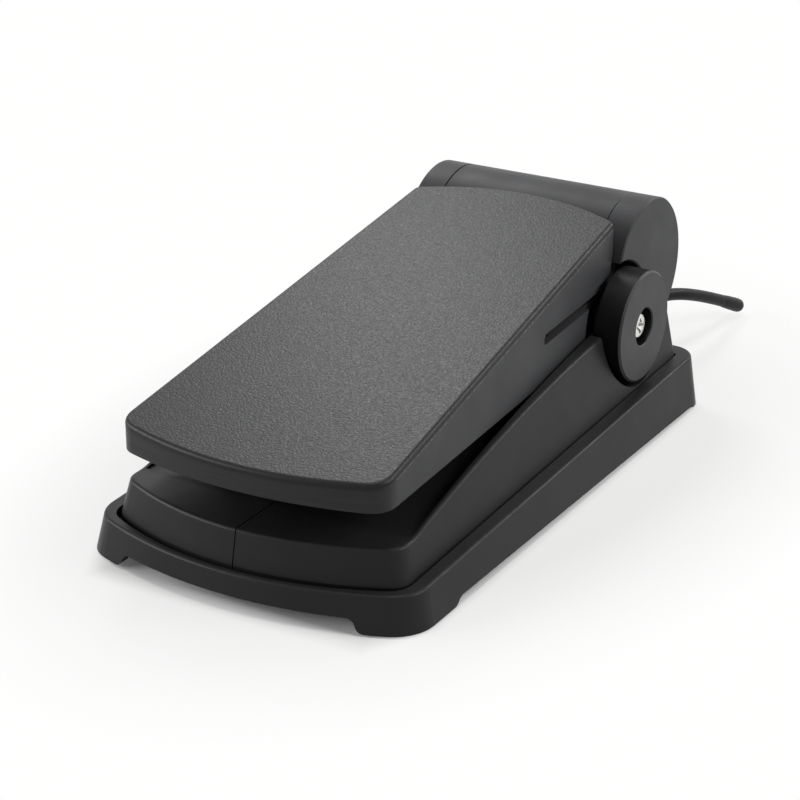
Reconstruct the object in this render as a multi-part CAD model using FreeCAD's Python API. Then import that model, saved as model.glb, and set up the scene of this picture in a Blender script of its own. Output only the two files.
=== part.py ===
import FreeCAD, Part
import math
import os

V = FreeCAD.Vector
X_AXIS = V(1, 0, 0)
Y_AXIS = V(0, 1, 0)
Z_AXIS = V(0, 0, 1)

# Base tray, in millimetres. The front of the pedal faces -Y and the floor is z = 0.
FAR = 300.0
TRAY_HALF_WIDTH = 60.0
TRAY_FRONT_Y = -102.2
TRAY_REAR_Y = 105.3
TRAY_FRONT_BOW = 13.3
TRAY_REAR_BOW = 0.6
TRAY_CORNER_R = 14.0
TRAY_REAR_CORNER_R = 11.0
TRAY_BOTTOM_Z = 0.6
TRAY_SLOPE = 0.2
RIM_FRONT_Z = 12.4
RIM_REAR_Z = 18.3
RIM_EDGE_R = 1.1
RIM_WIDTH = 7.3
TRAY_WALL = 3.6
FLOOR_BOTTOM_Z = 7.0
FLOOR_THICKNESS = 2.0
FRONT_ARCH_INSET = 18.0
FRONT_ARCH_HALF = TRAY_HALF_WIDTH - FRONT_ARCH_INSET
FRONT_ARCH_HEIGHT = 5.0
ARCH_SWEEP = 6.0
SIDE_ARCH_FRONT_Y = -80.0
SIDE_ARCH_REAR_Y = 92.0
SIDE_ARCH_FRONT_Z = 2.6
SIDE_ARCH_REAR_Z = 1.3
TRAY_RIB_INSET = 40.0
TRAY_RIB_X = TRAY_HALF_WIDTH - TRAY_RIB_INSET
TRAY_RIB_THICKNESS = 2.4
TRAY_RIB_DEPTH = 3.5

# Housing, two moulded halves that stand on the tray floor
HOUSING_HALF_WIDTH = TRAY_HALF_WIDTH - RIM_WIDTH
HOUSING_FRONT_Y = -96.9
HOUSING_REAR_Y = 97.5
HOUSING_CORNER_R = 7.0
HOUSING_REAR_R = 1.6
HOUSING_SLOPE = 0.2126
HOUSING_WALL = 2.2
HOUSING_EDGE_R = 1.2
HOUSING_FRONT_TOP_Z = 23.7
HOUSING_DECK_Y = -86.0
DECK_BLEND_R = 20.0
HOUSING_MID_Y = -20.0
HOUSING_MID_Z = 34.8
HOUSING_CREST_Y = 48.0
HOUSING_CREST_Z = 41.3
HOUSING_BACK_Z = 34.0
HOUSING_SEAM = 0.4
HOUSING_TRAY_GAP = 0.4
GROOVE_FRONT_GAP = 1.9
GROOVE_SIDE_GAP = 0.9
POCKET_REAR_R = 1.0
WELL_FRONT_Z = 23.2
WELL_REAR_Y = 58.0
WELL_REAR_Z = 33.6
WELL_MARGIN = 1.3
BOSS_R = 4.6
BOSS_INSET = 19.7
BOSS_X = HOUSING_HALF_WIDTH - BOSS_INSET
BOSS_REAR_INSET = 30.7
BOSS_REAR_X = HOUSING_HALF_WIDTH - BOSS_REAR_INSET
BOSS_FRONT_Y = -62.0
BOSS_REAR_Y = 46.0

# Pivot of the pedal
PIVOT_Y = 67.3
PIVOT_Z = 39.1
TRAVEL_DEG = 3.8
DISC_R = 19.5
DISC_INSET = 0.9
DISC_THICKNESS = 9.9
DISC_FACE_X = HOUSING_HALF_WIDTH - DISC_INSET
DISC_INNER_X = DISC_FACE_X - DISC_THICKNESS
DISC_BEVEL = 0.7
DISC_POCKET_GAP = 1.8
POCKET_FLOOR = 0.05
DISC_RECESS_R = 6.6
DISC_RECESS_DEPTH = 4.6
DISC_RECESS_FLOOR_X = DISC_FACE_X - DISC_RECESS_DEPTH
KEY_FLATS = 9.0
KEY_LENGTH = 3.1
KEY_END_X = DISC_INNER_X + KEY_LENGTH
SIDE_GAP = 0.55
EAR_OUTER_X = DISC_INNER_X - SIDE_GAP
EAR_THICKNESS = 3.6
EAR_INNER_X = EAR_OUTER_X - EAR_THICKNESS
EAR_R = 12.8
EAR_GAP = 0.6
BUSH_R = 8.4
BUSH_FLANGE_R = 10.6
BUSH_FLANGE = 0.35
BUSH_BORE_GAP = 0.06
JOURNAL_R = 6.0
RUNNING_CLEARANCE = 0.05
HUB_THICKNESS = 4.0
HUB_OUTER_X = EAR_INNER_X - SIDE_GAP
HUB_INNER_X = HUB_OUTER_X - HUB_THICKNESS
HUB_R = 12.0
HUB_FLATS = 13.0
HUB_SLOT_SILL = 8.0
WASHER_THICKNESS = 0.4
PIVOT_SCREW_R = 2.5
PIVOT_SCREW_HEAD_R = 4.75
PIVOT_SCREW_HEAD = 3.0
PIVOT_SCREW_GRIP = 8.6

# Barrel across the back
BARREL_Y = 90.3
BARREL_LOW_Z = 26.2
BARREL_R = 25.2
BARREL_Z = BARREL_LOW_Z + BARREL_R
BARREL_WALL = 2.4
LUG_PROUD = 0.5
LUG_THICKNESS = 9.8
BARREL_SEAM = 0.3
LUG_FACE_X = DISC_INNER_X + LUG_PROUD
LUG_INNER_X = LUG_FACE_X - LUG_THICKNESS
BARREL_HALF = LUG_INNER_X - BARREL_SEAM
LUG_BEVEL = 0.5
LUG_NOTCH_GAP = 1.8
LUG_WEB = 3.0
BARREL_CLEARANCE = 0.7
POST_FRONT_Y = 84.0
POST_REAR_Y = 93.2
POST_THICKNESS = 4.5
POST_FOOT_WIDTH = 10.5
POST_FOOT_HEIGHT = 13.0
TIE_ROD_R = 3.0
TIE_ROD_SEAT = 4.9
TIE_ROD_HALF = LUG_INNER_X + TIE_ROD_SEAT
TIE_NUT_FLATS = 10.0
TIE_NUT_HEIGHT = 5.0

# Pedal board
PEDAL_FRONT_INSET = 5.2
PEDAL_FRONT_HALF = HOUSING_HALF_WIDTH - PEDAL_FRONT_INSET
PEDAL_OVER_HUB = 1.7
PEDAL_REAR_HALF = HUB_OUTER_X + PEDAL_OVER_HUB
PEDAL_FRONT_Y = -99.5
PEDAL_REAR_Y = 68.1
PEDAL_FRONT_BOW = 8.2
PEDAL_REAR_BOW = 9.0
PEDAL_FRONT_R = 8.0
PEDAL_REAR_R = 3.0
PEDAL_TOP_Z = 63.1
PEDAL_PITCH_DEG = 9.69
PEDAL_SKIRT_Z = 36.5
PEDAL_SKIN = 2.6
PAD_THICKNESS = 2.0
PAD_EDGE_R = 1.5
SLOT_FRONT_Y = 11.0
SLOT_LOW_Z = 49.6
SLOT_HEIGHT = 3.0
SLOT_REBATE_HEIGHT = 5.8
SLOT_REBATE_DEPTH = 0.7
ARM_END_R = 22.0
ARM_FRONT_Y = 20.0
RIB_THICKNESS = 1.8
RIB_COUNT = 4
RIB_DEPTH = 7.0
RIB_INSET = 25.5
RIB_X = PEDAL_FRONT_HALF - RIB_INSET

# Sensor drive: a toothed sector under the board turns a pinion
GEAR_MODULE = 0.8
SECTOR_TEETH_FULL = 225
PINION_TEETH = 12
MESH_ANGLE_DEG = 12.0
SECTOR_BELOW_DEG = 2.2
SECTOR_ABOVE_DEG = 7.0
SECTOR_RIM = 7.0
SECTOR_WIDTH = 4.0
SECTOR_SLOT_GAP = 1.2
SECTOR_FOOT_WIDTH = 16.0
SECTOR_FOOT = 3.0
SECTOR_SCREW_BITE = 5.0
PINION_WIDTH = 6.0
GEAR_BACKLASH = 0.14
SHAFT_R = 2.0
POT_NECK_R = 3.5
POT_BODY_HALF = 5.0
POT_BODY_DEPTH = 7.0
BRACKET_X = 7.0
BRACKET_SHEET = 1.5
BRACKET_HALF = 8.5
BRACKET_FOOT = 12.0
BOARD_THICKNESS = 1.6
BOARD_HALF = 7.0

# Small parts
FOOT_R = 7.5
FOOT_HEIGHT = 2.4
FOOT_INSET = 14.5
FOOT_X = TRAY_HALF_WIDTH - FOOT_INSET
FOOT_FRONT_Y = -88.0
FOOT_REAR_Y = 92.0
FOOT_PAD_R = 9.3
PLATE_INSET = 18.0
PLATE_HALF_WIDTH = TRAY_HALF_WIDTH - PLATE_INSET
PLATE_FRONT_Y = -76.0
PLATE_REAR_Y = 62.0
PLATE_THICKNESS = 2.5
SCREW_R = 1.5
SCREW_HEAD_R = 2.8
BRACKET_SCREW_R = 1.25
SCREW_HEAD = 1.9
BASE_SCREW_LENGTH = 12.0
SCREW_CLEARANCE = 0.2
THREAD_CLEARANCE = 0.02
BUMPER_R = 5.0
BUMPER_STEM_R = 3.5
BUMPER_INSET = 21.5
BUMPER_X = PEDAL_FRONT_HALF - BUMPER_INSET
BUMPER_Y = -70.0
BUMPER_HEIGHT = 3.0
BUMPER_REST_GAP = 0.65

# Cord and the moulded plug that lies on the floor
CORD_R = 2.3
CORD_BEND_SHARE = 0.45
PLUG_R = 2.7
PLUG_LENGTH = 11.9
GLAND_R = 3.3
GLAND_LENGTH = 6.0
GLAND_FLANGE_R = 3.8
GLAND_FLANGE = 1.5
GLAND_SLEEVE = 5.0
GLAND_SIDE_GAP = 1.9
CORD_EXIT_X = HUB_OUTER_X - POST_FOOT_WIDTH - GLAND_FLANGE_R - GLAND_SIDE_GAP
CORD_EXIT_Z = BARREL_LOW_Z - BARREL_CLEARANCE - GLAND_R
CORD_ROUTE = [
    (CORD_EXIT_X, HOUSING_REAR_Y - 5.5, CORD_EXIT_Z),
    (CORD_EXIT_X, HOUSING_REAR_Y + 14.5, CORD_EXIT_Z),
    (CORD_EXIT_X + 6.2, HOUSING_REAR_Y + 37.5, CORD_EXIT_Z + 2.0),
    (CORD_EXIT_X + 12.0, HOUSING_REAR_Y + 60.5, CORD_EXIT_Z - 4.4),
    (CORD_EXIT_X + 14.8, HOUSING_REAR_Y + 82.5, PLUG_R + 5.05),
]

# Derived values
FLOOR_TOP_Z = FLOOR_BOTTOM_Z + FLOOR_THICKNESS
PITCH = math.tan(math.radians(PEDAL_PITCH_DEG))
SECTOR_R = GEAR_MODULE * SECTOR_TEETH_FULL / 2
PINION_R = GEAR_MODULE * PINION_TEETH / 2
MESH_ANGLE = math.radians(MESH_ANGLE_DEG)
PINION_Y = PIVOT_Y - (SECTOR_R + PINION_R) * math.cos(MESH_ANGLE)
PINION_Z = PIVOT_Z - (SECTOR_R + PINION_R) * math.sin(MESH_ANGLE)


def box(x0, x1, y0, y1, z0, z1):
    return Part.makeBox(x1 - x0, y1 - y0, z1 - z0, V(x0, y0, z0))


def rod_x(radius, x0, x1, y, z):
    start, end = min(x0, x1), max(x0, x1)
    return Part.makeCylinder(radius, end - start, V(start, y, z), X_AXIS)


def rod_z(radius, x, y, z0, z1):
    return Part.makeCylinder(radius, z1 - z0, V(x, y, z0), Z_AXIS)


def hex_x(flats, x0, x1, y, z):
    start, end = min(x0, x1), max(x0, x1)
    radius = flats / math.sqrt(3)
    corners = []
    for k in range(7):
        angle = math.radians(60 * k + 30)
        corners.append(V(start, y + radius * math.cos(angle), z + radius * math.sin(angle)))
    return Part.Face(Part.makePolygon(corners)).extrude(V(end - start, 0, 0))


def fuse(shapes):
    result = shapes[0]
    for shape in shapes[1:]:
        result = result.fuse(shape)
    return result.removeSplitter()


def cut_all(shape, tools):
    for tool in tools:
        shape = shape.cut(tool)
    return shape


def largest(shape):
    solids = sorted(shape.Solids, key=lambda solid: solid.Volume)
    return solids[-1]


def mirror(shape):
    return shape.mirror(V(0, 0, 0), X_AXIS)


def both_sides(shape, side):
    return shape if side > 0 else mirror(shape)


def corner_between(line_a, line_b, centre, radius, r, side):
    # The fillet that touches the side line from inside and the bowed end from inside
    along = line_b.sub(line_a)
    along.normalize()
    inward = V(-along.y * side, along.x * side, 0)
    start = line_a.add(inward * r).sub(centre)
    b = start.dot(along)
    c = start.dot(start) - (radius - r) ** 2
    t = -b - math.sqrt(b * b - c)
    middle = line_a.add(inward * r).add(along * t)
    on_line = middle.sub(inward * r)
    out = middle.sub(centre)
    out.normalize()
    on_end = middle.add(out * r)
    bulge = on_line.add(on_end) * 0.5
    bulge = bulge.sub(middle)
    bulge.normalize()
    return on_end, middle.add(bulge * r), on_line


def outline(front_half, rear_half, y_front, y_rear, bow_front, bow_rear, r_front, r_rear, z):
    # Plan outline with a bowed front and rear, straight sides and four rounded corners
    radius_f = (front_half ** 2 + bow_front ** 2) / (2 * bow_front)
    radius_r = (rear_half ** 2 + bow_rear ** 2) / (2 * bow_rear)
    centre_f = V(0, y_front - bow_front + radius_f, 0)
    centre_r = V(0, y_rear + bow_rear - radius_r, 0)
    front = V(front_half, y_front, 0)
    rear = V(rear_half, y_rear, 0)
    a1, a2, a3 = corner_between(front, rear, centre_f, radius_f, r_front, 1)
    b1, b2, b3 = corner_between(rear, front, centre_r, radius_r, r_rear, -1)
    apex_f = V(0, y_front - bow_front, 0)
    apex_r = V(0, y_rear + bow_rear, 0)
    flip = [V(-p.x, p.y, 0) for p in (a1, a2, a3, b1, b2, b3)]
    c1, c2, c3, d1, d2, d3 = flip
    edges = [
        Part.Arc(c1, apex_f, a1).toShape(),
        Part.Arc(a1, a2, a3).toShape(),
        Part.makeLine(a3, b3),
        Part.Arc(b3, b2, b1).toShape(),
        Part.Arc(b1, apex_r, d1).toShape(),
        Part.Arc(d1, d2, d3).toShape(),
        Part.makeLine(d3, c3),
        Part.Arc(c3, c2, c1).toShape(),
    ]
    wire = Part.Wire(edges)
    wire.translate(V(0, 0, z))
    return wire


def prism(wire, height):
    return Part.Face(wire).extrude(V(0, 0, height))


def side_prism(edges, half):
    # Extrude a closed side profile, drawn in the YZ plane, over the full width
    face = Part.Face(Part.Wire(edges))
    face.translate(V(-half, 0, 0))
    return face.extrude(V(2 * half, 0, 0))


def polygon_yz(points):
    corners = [V(0, y, z) for y, z in points]
    return Part.makePolygon(corners + [corners[0]]).Edges


def edges_where(shape, test):
    return [edge for edge in shape.Edges if test(edge)]


def round_edges(shape, radius, test):
    picked = edges_where(shape, test)
    return shape.makeFillet(radius, picked) if picked else shape


def rim_z(y):
    share = (y - TRAY_FRONT_Y) / (TRAY_REAR_Y - TRAY_FRONT_Y)
    return RIM_FRONT_Z + share * (RIM_REAR_Z - RIM_FRONT_Z)


def s_curve(x0, z0, x1, z1):
    # Two tangent arcs that leave and arrive level
    dx = (x1 - x0) / 2
    dz = (z1 - z0) / 2
    radius = (dx * dx + dz * dz) / (2 * abs(dz))
    half = math.asin(abs(dx) / radius) / 2
    step_x = math.copysign(radius * math.sin(half), dx)
    step_z = math.copysign(radius * (1 - math.cos(half)), dz)
    start = (x0, z0)
    middle = (x0 + dx, z0 + dz)
    end = (x1, z1)
    near = (x0 + step_x, z0 + step_z)
    far = (x1 - step_x, z1 - step_z)
    return (start, near, middle), (middle, far, end)


def tray_outline(inset, z, rear_inset=0.0):
    # The sides and the front lean in by inset, the rear wall stands upright
    half = TRAY_HALF_WIDTH - inset
    front_r = max(TRAY_CORNER_R - inset * 0.6, 3.0)
    rear_r = max(TRAY_REAR_CORNER_R - inset * 0.6, 3.0)
    return outline(half, half, TRAY_FRONT_Y + inset, TRAY_REAR_Y - rear_inset,
                   TRAY_FRONT_BOW, TRAY_REAR_BOW, front_r, rear_r, z)


def housing_outline(extra, rise, z):
    half = HOUSING_HALF_WIDTH - rise * HOUSING_SLOPE + extra
    front = HOUSING_FRONT_Y + rise * HOUSING_SLOPE - extra
    rear_r = max(HOUSING_REAR_R + extra, 0.5 * HOUSING_REAR_R)
    return outline(half, half, front, HOUSING_REAR_Y + extra,
                   TRAY_FRONT_BOW, TRAY_REAR_BOW, HOUSING_CORNER_R + extra, rear_r, z)


def foot_outline(front, side, rear_side, rear, rear_r, z):
    # Upright foot of the housing below the tray's rim, grown by a margin at each end and side
    front_rise = RIM_FRONT_Z - FLOOR_TOP_Z
    rear_rise = RIM_REAR_Z - FLOOR_TOP_Z
    front_half = HOUSING_HALF_WIDTH - front_rise * HOUSING_SLOPE + side
    rear_half = HOUSING_HALF_WIDTH - rear_rise * HOUSING_SLOPE + rear_side
    front_y = HOUSING_FRONT_Y + front_rise * HOUSING_SLOPE - front
    return outline(front_half, rear_half, front_y, HOUSING_REAR_Y + rear,
                   TRAY_FRONT_BOW, TRAY_REAR_BOW, HOUSING_CORNER_R + side, rear_r, z)


def pedal_outline(grow, z, front_shift=0.0):
    return outline(PEDAL_FRONT_HALF + grow, PEDAL_REAR_HALF + grow,
                   PEDAL_FRONT_Y - grow + front_shift, PEDAL_REAR_Y + grow,
                   PEDAL_FRONT_BOW, PEDAL_REAR_BOW,
                   PEDAL_FRONT_R + grow * 0.8, PEDAL_REAR_R + grow * 0.5, z)


def below_pedal_top(depth, z_low):
    # Everything under the sloping top face, lowered by depth
    y0 = PEDAL_FRONT_Y - 3 * PEDAL_FRONT_BOW
    y1 = PEDAL_REAR_Y + 3 * PEDAL_REAR_BOW
    drop = depth / math.cos(math.radians(PEDAL_PITCH_DEG))
    z0 = PEDAL_TOP_Z + PITCH * y0 - drop
    z1 = PEDAL_TOP_Z + PITCH * y1 - drop
    return side_prism(polygon_yz([(y0, z_low), (y1, z_low), (y1, z1), (y0, z0)]), FAR)


def gear_profile(teeth, module, thin, centre_y, centre_z, angles):
    # Points of straight-flanked teeth with rounded proportions, one tooth per angle, in the YZ plane
    pitch_r = teeth * module / 2
    tip_r = pitch_r + module
    low_r = pitch_r - 1.2 * module
    half_pitch = math.pi * module / 4 - thin / 2
    lean = math.tan(math.radians(20))
    points = []
    for angle in angles:
        for radius, sign in ((low_r, -1), (tip_r, -1), (tip_r, 1), (low_r, 1)):
            half = half_pitch - (radius - pitch_r) * lean
            turn = angle + sign * half / pitch_r
            points.append((centre_y + radius * math.cos(turn), centre_z + radius * math.sin(turn)))
    return points


def rubber_feet():
    feet = []
    for side in (-1, 1):
        for y in (FOOT_FRONT_Y, FOOT_REAR_Y):
            foot = rod_z(FOOT_R, side * FOOT_X, y, 0, FOOT_HEIGHT)
            feet.append(round_edges(foot, 0.5, lambda e: abs(e.BoundBox.ZMax) < 0.01))
    return Part.makeCompound(feet)


def base_tray():
    top_z = RIM_REAR_Z + 2.0
    lower = tray_outline(TRAY_BOTTOM_Z * TRAY_SLOPE, TRAY_BOTTOM_Z)
    upper = tray_outline(top_z * TRAY_SLOPE, top_z)
    body = Part.makeLoft([lower, upper], True, True)
    y0 = TRAY_FRONT_Y - 2 * TRAY_FRONT_BOW
    y1 = TRAY_REAR_Y + 2 * TRAY_FRONT_BOW
    above = side_prism(polygon_yz([(y0, rim_z(y0)), (y1, rim_z(y1)), (y1, FAR), (y0, FAR)]), FAR)
    body = body.cut(above)
    body = round_edges(body, RIM_EDGE_R, lambda e: e.BoundBox.ZMin > RIM_FRONT_Z - 1.5)
    gap = HOUSING_TRAY_GAP
    pocket = foot_outline(GROOVE_FRONT_GAP, GROOVE_SIDE_GAP, gap, gap, POCKET_REAR_R, FLOOR_TOP_Z)
    pocket = prism(pocket, FAR)
    under = prism(tray_outline(TRAY_WALL, 0.0, TRAY_WALL), FLOOR_BOTTOM_Z)
    body = body.cut(pocket).cut(under)
    pads = []
    for side in (-1, 1):
        for y in (FOOT_FRONT_Y, FOOT_REAR_Y):
            pads.append(rod_z(FOOT_PAD_R, side * FOOT_X, y, TRAY_BOTTOM_Z, FLOOR_BOTTOM_Z + 0.5))
    half = TRAY_RIB_THICKNESS / 2
    low = FLOOR_BOTTOM_Z - TRAY_RIB_DEPTH
    high = FLOOR_BOTTOM_Z + 0.5
    for x in (-TRAY_RIB_X, TRAY_RIB_X):
        pads.append(box(x - half, x + half, PLATE_REAR_Y + 3, TRAY_REAR_Y - 1.0, low, high))
        pads.append(box(x - half, x + half, TRAY_FRONT_Y, PLATE_FRONT_Y - 3, low + 1.0, high))
    body = fuse([body] + pads)
    cuts = []
    for side in (-1, 1):
        for y in (FOOT_FRONT_Y, FOOT_REAR_Y):
            cuts.append(rod_z(FOOT_R + RUNNING_CLEARANCE, side * FOOT_X, y, -1.0, FOOT_HEIGHT))
        for x, y in base_screw_places(side):
            cuts.append(rod_z(SCREW_R + SCREW_CLEARANCE, x, y, 0, FLOOR_TOP_Z + 1))
        x, y = post_screw_place(side)
        cuts.append(rod_z(SCREW_R + SCREW_CLEARANCE, x, y, 0, FLOOR_TOP_Z + 1))
    for x, y in bracket_screw_places():
        cuts.append(rod_z(BRACKET_SCREW_R + THREAD_CLEARANCE, x, y, 0, FLOOR_TOP_Z + 1))
    cuts.append(front_arch())
    cuts.append(side_arches())
    return largest(cut_all(body, cuts))


def front_arch():
    half = FRONT_ARCH_HALF
    sweep = ARCH_SWEEP / 2
    low = TRAY_BOTTOM_Z
    rise = FRONT_ARCH_HEIGHT
    first, second = s_curve(half + sweep, low, half - sweep, rise)
    edges = []
    for piece in (first, second):
        edges.append([V(x, 0, z) for x, z in piece])
    mirrored = [[V(-p.x, 0, p.z) for p in reversed(piece)] for piece in reversed(edges)]
    shapes = [Part.Arc(*piece).toShape() for piece in edges]
    shapes.append(Part.makeLine(edges[1][2], mirrored[0][0]))
    shapes += [Part.Arc(*piece).toShape() for piece in mirrored]
    left_low = V(-half - sweep, 0, low)
    right_low = V(half + sweep, 0, low)
    left_deep = V(-half - sweep, 0, -2)
    right_deep = V(half + sweep, 0, -2)
    shapes.append(Part.makeLine(left_low, left_deep))
    shapes.append(Part.makeLine(left_deep, right_deep))
    shapes.append(Part.makeLine(right_deep, right_low))
    face = Part.Face(Part.Wire(shapes))
    face.translate(V(0, TRAY_FRONT_Y - 2 * TRAY_FRONT_BOW, 0))
    return face.extrude(V(0, 2 * TRAY_FRONT_BOW + TRAY_WALL + 2.0, 0))


def side_arches():
    level_y = SIDE_ARCH_FRONT_Y + ARCH_SWEEP
    first, second = s_curve(SIDE_ARCH_FRONT_Y, TRAY_BOTTOM_Z, level_y, SIDE_ARCH_FRONT_Z)
    shapes = []
    for piece in (first, second):
        shapes.append(Part.Arc(*[V(0, y, z) for y, z in piece]).toShape())
    path = [V(0, level_y, SIDE_ARCH_FRONT_Z), V(0, SIDE_ARCH_REAR_Y, SIDE_ARCH_REAR_Z),
            V(0, SIDE_ARCH_REAR_Y + 3, TRAY_BOTTOM_Z), V(0, SIDE_ARCH_REAR_Y + 3, -2),
            V(0, SIDE_ARCH_FRONT_Y, -2), V(0, SIDE_ARCH_FRONT_Y, TRAY_BOTTOM_Z)]
    for a, b in zip(path[:-1], path[1:]):
        shapes.append(Part.makeLine(a, b))
    tool = side_prism(shapes, FAR)
    inner = TRAY_HALF_WIDTH - TRAY_WALL - 0.8
    return tool.cut(box(-inner, inner, -FAR, FAR, -FAR, FAR))


def base_screw_places(side):
    return [(side * BOSS_X, BOSS_FRONT_Y), (side * BOSS_REAR_X, BOSS_REAR_Y)]


def post_screw_place(side):
    middle = HUB_OUTER_X - POST_FOOT_WIDTH / 2
    return side * middle, (POST_FRONT_Y + POST_REAR_Y) / 2


def bracket_screw_places():
    x = BRACKET_X + BRACKET_SHEET + BRACKET_FOOT / 2 + 2.0
    return [(x, PINION_Y - BRACKET_HALF + 3.0 - 5.5), (x, PINION_Y + BRACKET_HALF - 3.0 + 5.5)]


def ballast_plate():
    plate = box(-PLATE_HALF_WIDTH, PLATE_HALF_WIDTH, PLATE_FRONT_Y, PLATE_REAR_Y,
                FLOOR_BOTTOM_Z - PLATE_THICKNESS, FLOOR_BOTTOM_Z)
    plate = round_edges(plate, 6.0, lambda e: abs(e.BoundBox.ZLength - PLATE_THICKNESS) < 0.01)
    cuts = []
    for side in (-1, 1):
        for x, y in base_screw_places(side):
            cuts.append(rod_z(SCREW_R + SCREW_CLEARANCE, x, y, 0, FLOOR_TOP_Z))
    for x, y in bracket_screw_places():
        cuts.append(rod_z(4.0, x, y, 0, FLOOR_TOP_Z))
    return cut_all(plate, cuts)


def screw_up(x, y, head_z, radius, head_r, head, length):
    # Pan head below, shank going up, cross recess in the head
    shank = rod_z(radius, x, y, head_z, head_z + length)
    cap = rod_z(head_r, x, y, head_z - head, head_z)
    cap = round_edges(cap, head * 0.35, lambda e: abs(e.BoundBox.ZMax - (head_z - head)) < 0.01)
    cross = []
    for wide, deep in ((head_r * 0.55, 0.35), (0.35, head_r * 0.55)):
        cross.append(box(x - wide, x + wide, y - deep, y + deep, head_z - head - 1, head_z - head * 0.4))
    return cut_all(fuse([shank, cap]), cross)


def base_screws():
    screws = []
    for side in (-1, 1):
        for x, y in base_screw_places(side):
            screws.append(screw_up(x, y, FLOOR_BOTTOM_Z - PLATE_THICKNESS, SCREW_R, SCREW_HEAD_R,
                                   SCREW_HEAD, BASE_SCREW_LENGTH))
    return Part.makeCompound(screws)


def post_screws():
    screws = []
    for side in (-1, 1):
        x, y = post_screw_place(side)
        screws.append(screw_up(x, y, FLOOR_BOTTOM_Z, SCREW_R, SCREW_HEAD_R,
                               SCREW_HEAD, BASE_SCREW_LENGTH))
    return Part.makeCompound(screws)


def housing_top(drop):
    # Convex side profile of the housing, lowered by drop for the inside
    y0 = HOUSING_FRONT_Y - 2 * TRAY_FRONT_BOW
    y1 = HOUSING_REAR_Y + TRAY_FRONT_BOW
    start = V(0, y0, HOUSING_FRONT_TOP_Z - drop)
    a = V(0, HOUSING_DECK_Y, HOUSING_FRONT_TOP_Z - drop)
    b = V(0, HOUSING_MID_Y, HOUSING_MID_Z - drop)
    c = V(0, HOUSING_CREST_Y, HOUSING_CREST_Z - drop)
    fall = (HOUSING_CREST_Z - HOUSING_BACK_Z) / (HOUSING_REAR_Y - HOUSING_CREST_Y)
    end = V(0, y1, HOUSING_CREST_Z - drop - fall * (y1 - HOUSING_CREST_Y))
    low_end = V(0, y1, 0)
    low_start = V(0, y0, 0)
    shapes = [Part.makeLine(start, a), Part.Arc(a, b, c).toShape(), Part.makeLine(c, end)]
    for first, second in ((end, low_end), (low_end, low_start), (low_start, start)):
        shapes.append(Part.makeLine(first, second))
    return round_edges(side_prism(shapes, FAR), DECK_BLEND_R, deck_crease)


def deck_crease(edge):
    # Where the level front deck meets the rising top
    bounds = edge.BoundBox
    return bounds.XLength > FAR and abs(bounds.YMax - HOUSING_DECK_Y) < 0.01


def housing_skin(inset, top_drop):
    high = HOUSING_CREST_Z + HOUSING_CORNER_R
    low_z = FLOOR_TOP_Z
    lower = housing_outline(-inset, 0, low_z)
    upper = housing_outline(-inset, high - low_z, high)
    skin = Part.makeLoft([lower, upper], True, True).common(housing_top(top_drop))
    foot = foot_outline(-inset, -inset, -inset, HOUSING_CORNER_R, HOUSING_REAR_R, low_z - 1.0)
    return skin.common(prism(foot, high))


def well_floor(y):
    share = (y - HOUSING_DECK_Y) / (WELL_REAR_Y - HOUSING_DECK_Y)
    return WELL_FRONT_Z + share * (WELL_REAR_Z - WELL_FRONT_Z)


def well(grow):
    # The hollow of the housing top that takes in the skirts of the board
    y0 = HOUSING_DECK_Y - grow
    y1 = PEDAL_REAR_Y + 2 * PEDAL_REAR_BOW
    z1 = well_floor(WELL_REAR_Y)
    points = [(y0, well_floor(y0) - grow), (WELL_REAR_Y, z1 - grow), (y1, z1 - grow), (y1, FAR), (y0, FAR)]
    plan = prism(pedal_outline(WELL_MARGIN + grow, 0), FAR)
    return plan.common(side_prism(polygon_yz(points), FAR))


def barrel_space(grow):
    half = LUG_FACE_X + BARREL_CLEARANCE + grow
    return rod_x(BARREL_R + BARREL_CLEARANCE + grow, -half, half, BARREL_Y, BARREL_Z)


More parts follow.
